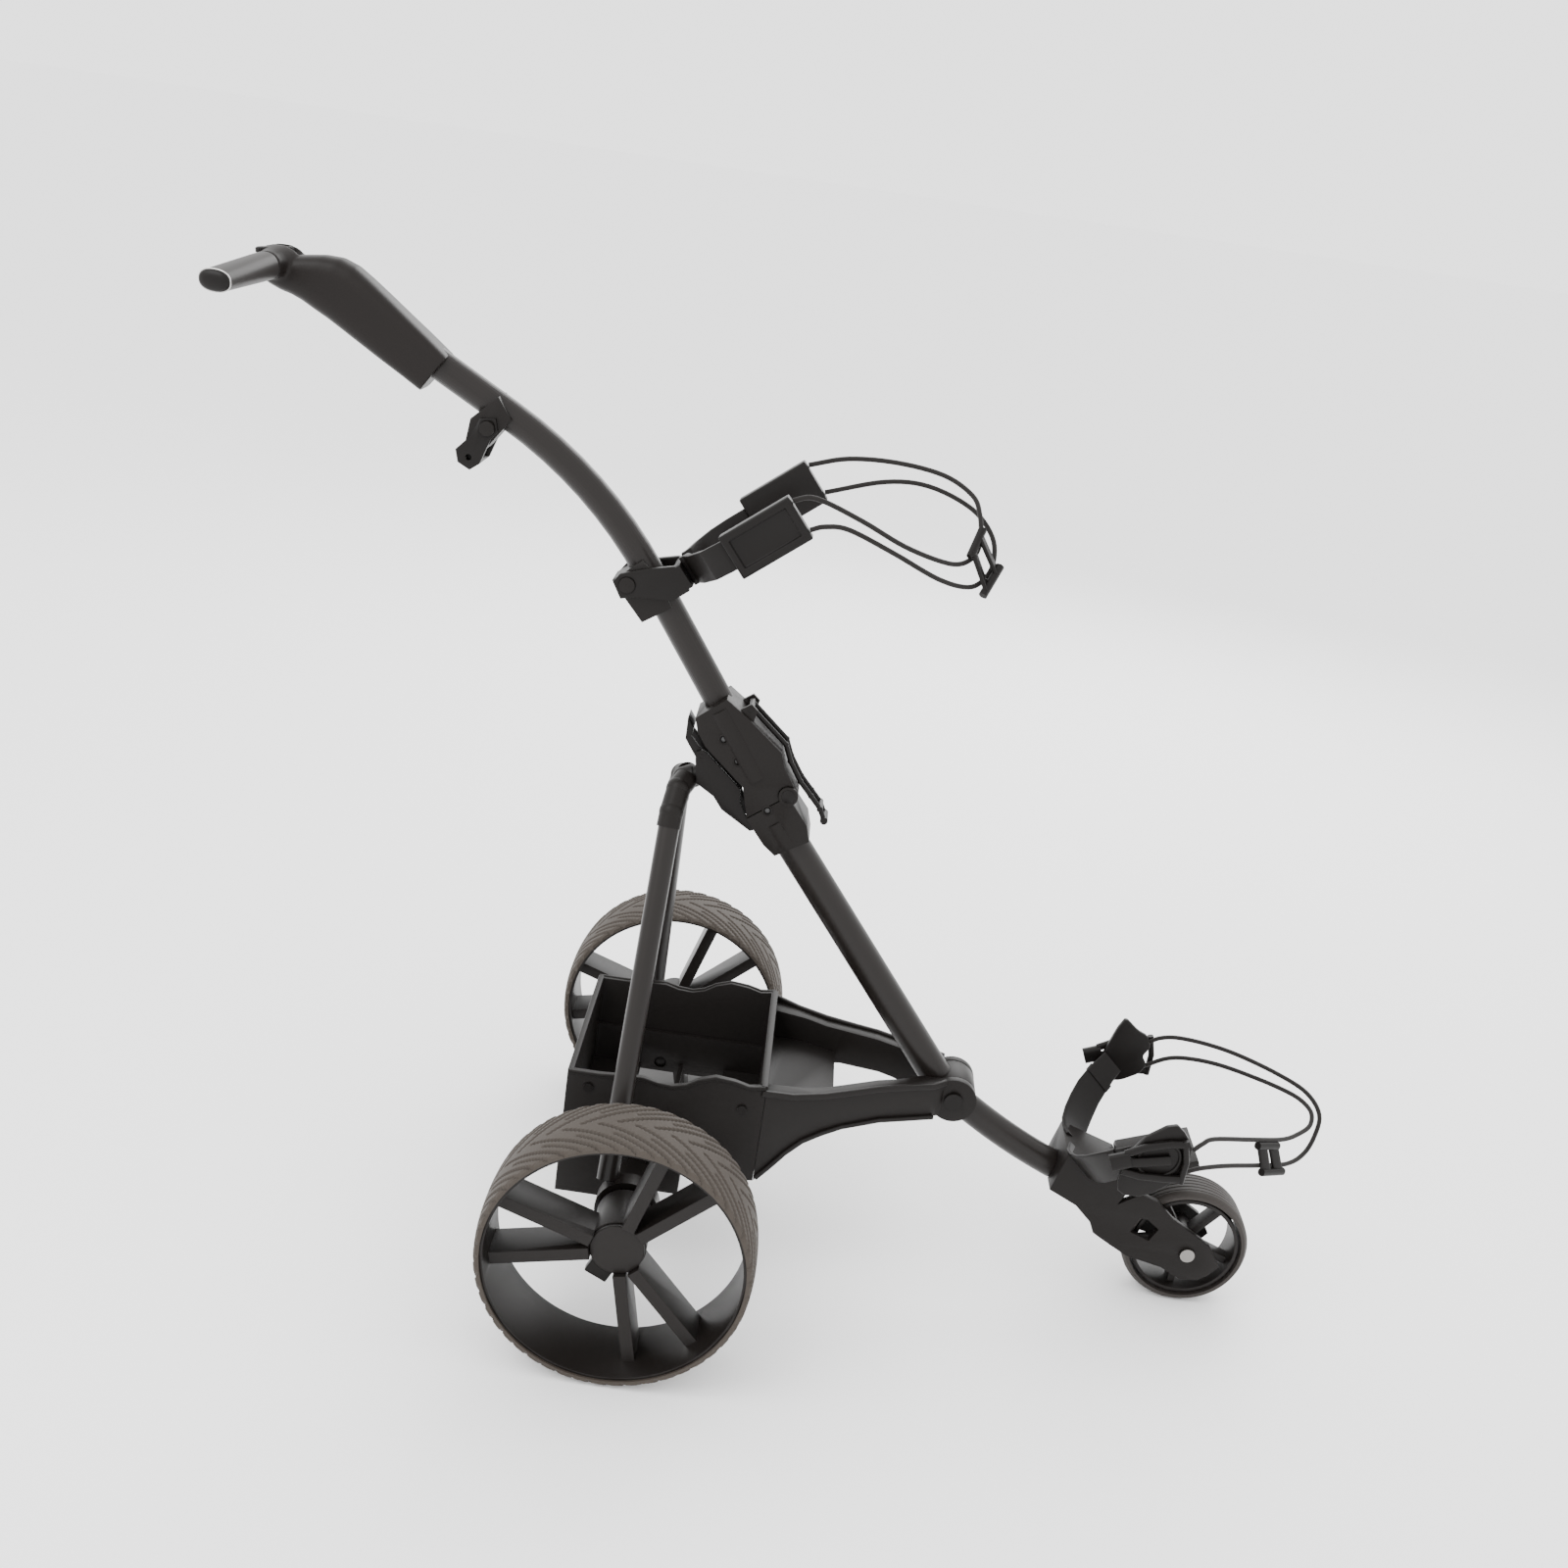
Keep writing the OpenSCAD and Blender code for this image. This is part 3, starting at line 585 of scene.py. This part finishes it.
def make_hinge_details():
    """Half round backs that carry the tubes' line over the hinge, and sunk screws."""
    strip("hinge_back_upper", [(19, 0, 608.2), (39, 0, 580), (57, 0, 554), (66, 0, 541.5)], 28.6,
          15, "body_plastic", "upper_shaft", power=2.6, count=48)
    strip("hinge_back_lower", [(90, 0, 497), (96, 0, 489), (102, 0, 481.5), (108, 0, 474)], 27.8,
          14, "body_plastic", "main_frame", power=2.6, count=48)
    for body, spots in SCREWS.items():
        for n, spot in enumerate(spots):
            for side, tag in SIDES:
                name = f"hinge_screw_{body}_{n}_{tag}"
                disc(name, spot, 2.6, side * (HINGE_HALF - 2), side * (HINGE_HALF - 0.7),
                     "motor_steel", body, 0.3)
                skin(name + "_rim", [circle(*spot, r, side * y) for r, y in SCREW_RIM], 50,
                     "body_plastic", body, closed=True)


def make_covers():
    """Dark caps over the ends of the shafts and of the folding pivot."""
    for side, tag in SIDES:
        disc("shaft_cover_" + tag, (0, REAR_R), 6.6, side * 103.2, side * 104.1,
             "detail_plastic", "wheel_" + tag, 0.3)
        disc("pivot_cover_" + tag, FOLD_PIVOT, 7, side * (HINGE_HALF + 2), side * (HINGE_HALF + 3.2),
             "detail_plastic", "main_frame", 0.5)


# ---------------------------------------------------------------- cord joiners
def between(start, end):
    """A function that gives the point at a share of the way from start to end."""
    return lambda t: tuple(a + (b - a) * t for a, b in zip(start, end))


def ladder_clip(name, node, strand_a, strand_b, up):
    """Cord joiner: a sleeve on each cord and two flat bars between them. A strand is the start
    and end of the sleeve on it, in mm."""
    body = BODY_OF[node]
    line_a, line_b = between(*strand_a), between(*strand_b)
    for line, tag, nodes in ((line_a, "a", [node]), (line_b, "b", [])):
        strip(f"{name}_sleeve_{tag}", [line(0), line(0.5), line(1)], 4.2, 4.2, "detail_plastic",
              body, nodes, power=2.4)
    for n, (low, high) in enumerate(((0.04, 0.40), (0.60, 0.96))):
        mid = (low + high) / 2
        wide = (Vector(line_a(high)) - Vector(line_a(low))).length / 2
        strip(f"{name}_bar_{n}", [line_a(mid), line_b(mid)], wide, 2.2, "detail_plastic", body,
              up=up, power=5)


def make_joiners():
    ladder_clip("clip_lower", "cord_clip_lower", ((645, -63, 232), (672, -44, 225)),
                ((655, -66, 203), (684, -45, 196)), (0.57, -0.82, 0))
    ladder_clip("clip_upper", "cord_clip_upper", ((240, -14.5, 798), (249, 5, 823)),
                ((258, -20, 763), (272, 2, 790)), (0.6, -0.2, 0.3))


# ---------------------------------------------------------------- lower bag support
CRADLE_PATH = [(474, 10, 161), (472, 24, 160), (473, 38, 162), (477, 52, 168), (483, 66, 178),
               (490, 78, 190), (499, 88, 202), (508, 96, 213), (515, 101, 221)]
STRAP_WIDE = Vector((0.72, 0, -0.69)).normalized()
NEAR_PAD = [(496, 199), (500, 178), (528, 179), (560, 208), (566, 240), (556, 258), (541, 270),
            (508, 243)]
FAR_PAD = [(497, 205), (512, 194), (530, 197), (549, 209), (555, 221), (548, 231), (555, 244),
           (549, 257), (537, 262), (520, 276), (513, 262), (506, 238)]
OVAL_AT = (533, 226)
OVAL_HALF = (23, 21)
# routes of the forked hook that takes the cord ends, X and Z, with half width and half height
HOOK_BARS = {
    "joint": ([(484, 216), (503, 224)], 5, 9, 3.5),
    "top": ([(497, 229), (516, 240), (540, 248), (558, 250)], 3.2, 4, 3),
    "mid": ([(500, 219), (520, 223), (544, 229)], 2.4, 5.5, 3),
    "low": ([(497, 209), (516, 206), (540, 207), (558, 209)], 3.2, 4, 3),
    "bar": ([(554, 254), (560, 230), (559, 205)], 3.4, 3.4, 2.4),
}


def make_straps():
    """The curved strap on each side, with a keeper loop round it near its end."""
    for side, tag in SIDES:
        line = [at(x, side * y, z) for x, y, z in CRADLE_PATH]
        rings = []
        for i, point in enumerate(line):
            along = (line[min(i + 1, len(line) - 1)] - line[max(i - 1, 0)]).normalized()
            flat = along.cross(STRAP_WIDE).normalized()
            half = 15 + 5.5 * math.sin(math.pi * min(1, 0.15 + i / 9))
            rings.append(oval(point, STRAP_WIDE, flat, half, 1.9, 6, 36))
        skin("cradle_strap_" + tag, rings, 45, "detail_plastic", "main_frame",
             ["cradle_band_" + tag])
        keeper = [line[6] + (line[7] - line[6]) * t for t in (-0.1, 0.45)]
        flat = (line[7] - line[6]).normalized().cross(STRAP_WIDE).normalized()
        rings = [oval(point, STRAP_WIDE, flat, 18.5, 3.6, 6, 36) for point in keeper]
        skin("cradle_keeper_" + tag, rings, 45, "detail_plastic", "main_frame")


def make_plates():
    """The plate on each side, and the oval rim raised on the right one."""
    slab("cradle_plate_r", corner_cut(NEAR_PAD), -CRADLE_Y - 7, -CRADLE_Y, 1.6, "detail_plastic",
         "main_frame", ["cradle_pad_r"])
    slab("cradle_plate_l", corner_cut(FAR_PAD, 0.16), CRADLE_Y, CRADLE_Y + 7, 1.6,
         "detail_plastic", "main_frame", ["cradle_pad_l"])
    rings = []
    for i in range(48):
        a = 2 * math.pi * i / 48
        out = (math.cos(a) * 0.86 - math.sin(a) * 0.36, math.cos(a) * 0.51 + math.sin(a) * 0.86)
        centre = at(OVAL_AT[0] + OVAL_HALF[0] * out[0], -CRADLE_Y - 7,
                    OVAL_AT[1] + OVAL_HALF[1] * out[1])
        radial = Vector((out[0], 0, out[1])).normalized()
        rings.append(oval(centre, radial, ACROSS, 2.2, 1.8, 2, 12))
    skin("cradle_oval", rings, 60, "detail_plastic", "main_frame", closed=True)


def make_hooks():
    for side, tag in SIDES:
        y = side * (CRADLE_Y + 10.5)
        for part, (route, wide, high, power) in HOOK_BARS.items():
            strip(f"hook_{tag}_{part}", [(x, y, z) for x, z in route], wide, high,
                  "detail_plastic", "main_frame", up=(1, 0, 0) if part == "bar" else (0, 0, 1),
                  power=power)


make_tray_lips()
make_hinge_details()
make_straps()
make_plates()
make_hooks()
make_covers()
make_joiners()


# ---------------------------------------------------------------- CAD pieces with soft edges
# CAD nodes that get rounded edges, with the width of the rounding in mm
SOFT_EDGES = {
    "base_tray": 1.6, "gearbox_case": 1.5, "bearing_boss_r": 1.0, "bearing_boss_l": 1.0,
    "rim_r": 0.9, "rim_l": 0.9, "hub_cap_r": 1.2, "hub_cap_l": 1.2, "release_tab_r": 1.2,
    "release_tab_l": 1.2, "knuckle_barrel": 1.0, "front_fork": 1.8, "hinge_lower": 2.2,
    "hinge_upper": 2.2, "clip_bracket": 0.8, "clip_lever": 0.8, "bag_rest": 1.6,
    "front_rim": 0.8, "bag_bracket": 1.6, "bag_yoke": 1.4, "bag_band_r": 0.8,
    "bag_band_l": 0.8, "bag_pad_r": 1.4, "bag_pad_l": 1.4, "catch_collar": 1.6,
    "fold_catch": 1.2,
}


def dress_cad():
    """Gives every CAD piece its material, and those listed a copy with soft edges."""
    for node, obj in frame["nodes"].items():
        for place in obj.material_slots:
            place.material = MATERIALS[SLOT_OF[node]]
        if not obj.material_slots:
            obj.data.materials.append(MATERIALS[SLOT_OF[node]])
    for node, width in SOFT_EDGES.items():
        soften(node, width)


dress_cad()


# ---------------------------------------------------------------- stage
FLOOR_SIZE = 400
SKY_STRENGTH = 2.4
LIGHT_TARGET = Vector((0, 0, 0.4))
# name, place, size in metres and power in watts
LIGHTS = (("key", (-1.6, -1.4, 2.6), 1.8, 45), ("back", (0.8, 2.6, 2.2), 2.5, 70))


def area_light(name, place, size, power):
    """A round lamp turned to the middle of the part."""
    data = bpy.data.lights.new(name, "AREA")
    data.shape = "DISK"
    data.size = size
    data.energy = power
    obj = bpy.data.objects.new(name, data)
    bpy.context.collection.objects.link(obj)
    obj.location = place
    obj.rotation_euler = (LIGHT_TARGET - Vector(place)).to_track_quat("-Z", "Y").to_euler()


def make_stage():
    bpy.ops.mesh.primitive_plane_add(size=FLOOR_SIZE, location=(0, 0, 0))
    floor = bpy.context.object
    floor.name = "floor"
    floor.data.materials.append(MATERIALS["floor"])
    world = bpy.data.worlds.new("studio")
    bpy.context.scene.world = world
    world.use_nodes = True
    background = world.node_tree.nodes["Background"]
    background.inputs["Color"].default_value = (1, 1, 1, 1)
    background.inputs["Strength"].default_value = SKY_STRENGTH
    for light in LIGHTS:
        area_light(*light)


make_stage()
